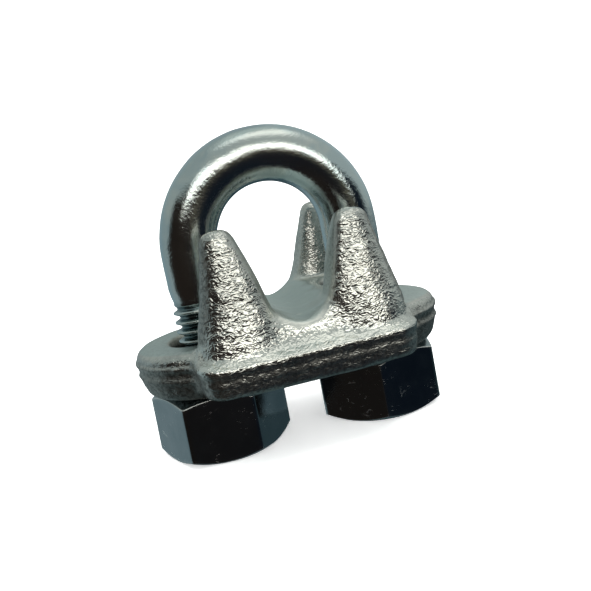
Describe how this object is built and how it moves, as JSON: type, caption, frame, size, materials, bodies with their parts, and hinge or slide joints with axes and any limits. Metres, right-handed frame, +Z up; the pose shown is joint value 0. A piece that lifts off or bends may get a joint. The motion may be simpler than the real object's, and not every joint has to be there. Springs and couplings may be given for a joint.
{
  "type": "wire rope clip",
  "caption": "Forged wire rope clip: horned saddle with two ears, threaded U-bolt and hex nuts that draw the bow down onto the rope in the seat.",
  "frame": {"origin": "midway between the legs, on the plane of the nuts' lower faces, which is the bottom centre of the part's box", "axes": "+X through both legs from the left nut to the right nut, +Y along the rope, +Z up from the nuts towards the bow"},
  "size_m": [0.0604, 0.041, 0.0586],
  "materials": {
    "galvanised_forging": "hot-dip galvanised, lumpy grain",
    "zinc_plated_rod": "bright zinc plate, smooth",
    "zinc_plated_nut": "bright zinc plate, glossy"
  },
  "bodies": {
    "saddle": {"saddle": "galvanised_forging"},
    "u_bolt": {"u_bolt": "zinc_plated_rod"},
    "nut_left": {"nut_left": "zinc_plated_nut"},
    "nut_right": {"nut_right": "zinc_plated_nut"}
  },
  "joints": [
    {"name": "nut_left_turn", "type": "hinge", "parent": "saddle", "child": "nut_left", "pos_m": [-0.0158, 0, 0.0061], "axis": [0, 0, 1], "range_deg": [-1080, 2880]},
    {"name": "nut_right_turn", "type": "hinge", "parent": "saddle", "child": "nut_right", "pos_m": [0.0158, 0, 0.0061], "axis": [0, 0, 1], "range_deg": [-1080, 2880]},
    {"name": "u_bolt_draw", "type": "slide", "parent": "saddle", "child": "u_bolt", "axis": [0, 0, 1], "range_m": [-0.01451, 0.00544]}
  ],
  "couplings": [
    {"joint": "nut_left_turn", "follows": "u_bolt_draw", "rad_per_m": -3463.2},
    {"joint": "nut_right_turn", "follows": "u_bolt_draw", "rad_per_m": -3463.2}
  ]
}
